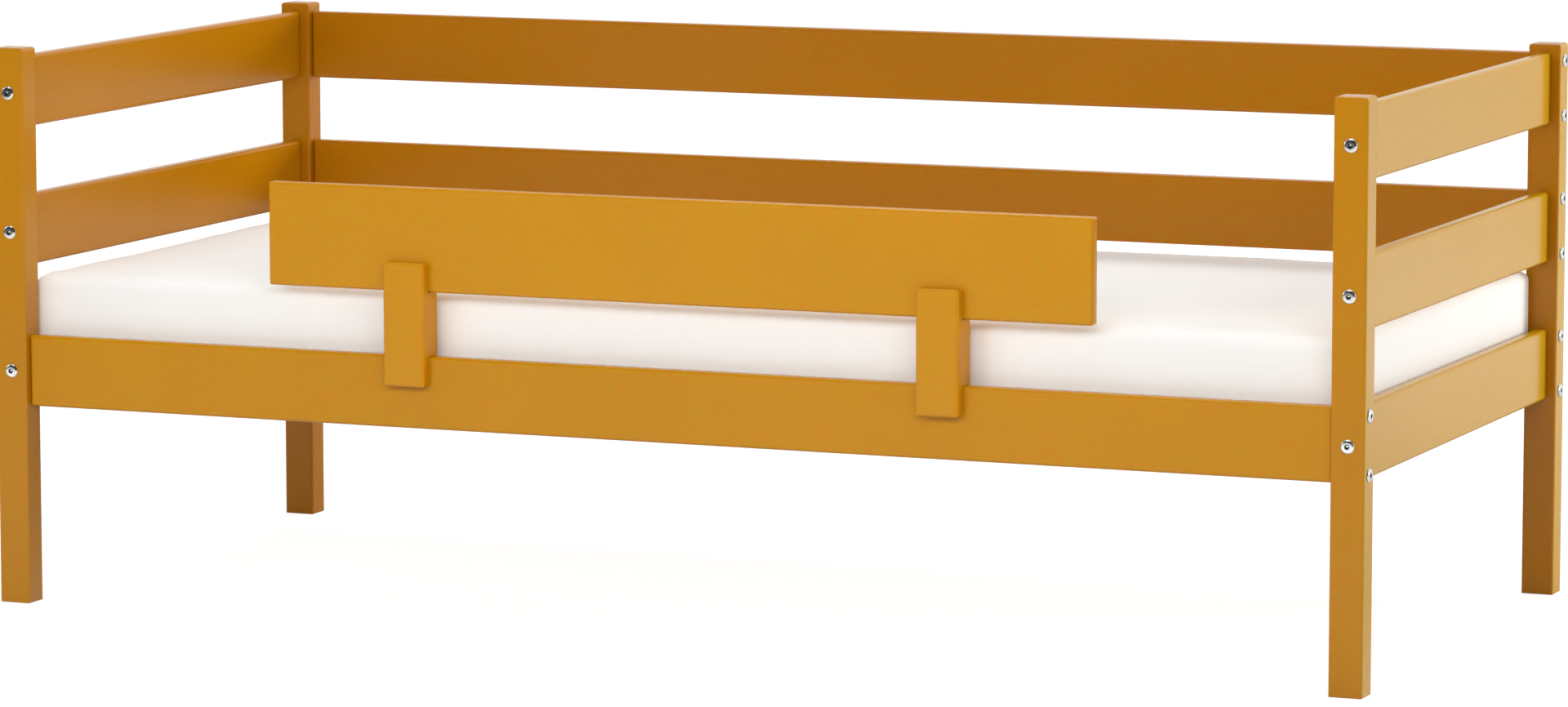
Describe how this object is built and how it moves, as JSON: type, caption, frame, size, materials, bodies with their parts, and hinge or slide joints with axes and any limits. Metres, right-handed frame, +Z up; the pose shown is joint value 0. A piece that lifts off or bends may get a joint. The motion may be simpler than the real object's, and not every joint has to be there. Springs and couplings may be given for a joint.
{
  "type": "toddler bed",
  "caption": "Low painted wooden toddler bed with boarded back and ends, slatted base, mattress and a lift-out guard board on slotted blocks.",
  "frame": {"origin": "on the floor, under the middle of the bed", "axes": "+X along the bed to the right-hand end, +Y across the bed to the boarded rear side, +Z up"},
  "size_m": [1.6844, 0.7877, 0.656],
  "materials": {
    "painted_wood": "ochre satin lacquer on solid wood",
    "bare_wood": "planed, unpainted softwood",
    "zinc_steel": "bright zinc plate",
    "mattress_fabric": "off-white knitted cover over foam",
    "webbing": "plain woven tape"
  },
  "bodies": {
    "root": {"post_front_left": "painted_wood", "post_front_right": "painted_wood", "post_rear_left": "painted_wood", "post_rear_right": "painted_wood", "rail_front": "painted_wood", "rail_rear": "painted_wood", "back_board_middle": "painted_wood", "back_board_upper": "painted_wood", "left_end_lower": "painted_wood", "left_end_middle": "painted_wood", "left_end_upper": "painted_wood", "right_end_lower": "painted_wood", "right_end_middle": "painted_wood", "right_end_upper": "painted_wood", "ledge_front": "bare_wood", "ledge_rear": "bare_wood", "slat_01": "bare_wood", "slat_02": "bare_wood", "slat_03": "bare_wood", "slat_04": "bare_wood", "slat_05": "bare_wood", "slat_06": "bare_wood", "slat_07": "bare_wood", "slat_08": "bare_wood", "slat_09": "bare_wood", "slat_10": "bare_wood", "slat_11": "bare_wood", "slat_12": "bare_wood", "slat_13": "bare_wood", "ribbon_front": "webbing", "ribbon_rear": "webbing", "end_board_bolts": "zinc_steel", "long_board_bolts": "zinc_steel", "end_board_inserts": "zinc_steel", "long_board_inserts": "zinc_steel", "end_board_dowels": "bare_wood", "ledge_screws": "zinc_steel", "slat_screws": "zinc_steel"},
    "mattress": {"mattress": "mattress_fabric"},
    "guard_blocks": {"guard_block_left": "painted_wood", "guard_block_right": "painted_wood"},
    "guard_board": {"guard_board": "painted_wood"}
  },
  "joints": [
    {"name": "mattress_lift", "type": "slide", "parent": "root", "child": "mattress", "axis": [0, 0, 1], "range_m": [0, 0.4]},
    {"name": "guard_slide", "type": "slide", "parent": "root", "child": "guard_blocks", "axis": [1, 0, 0], "range_m": [-0.31, 0.272]},
    {"name": "guard_lift", "type": "slide", "parent": "guard_blocks", "child": "guard_board", "axis": [0, 0, 1], "range_m": [0, 0.12]}
  ]
}
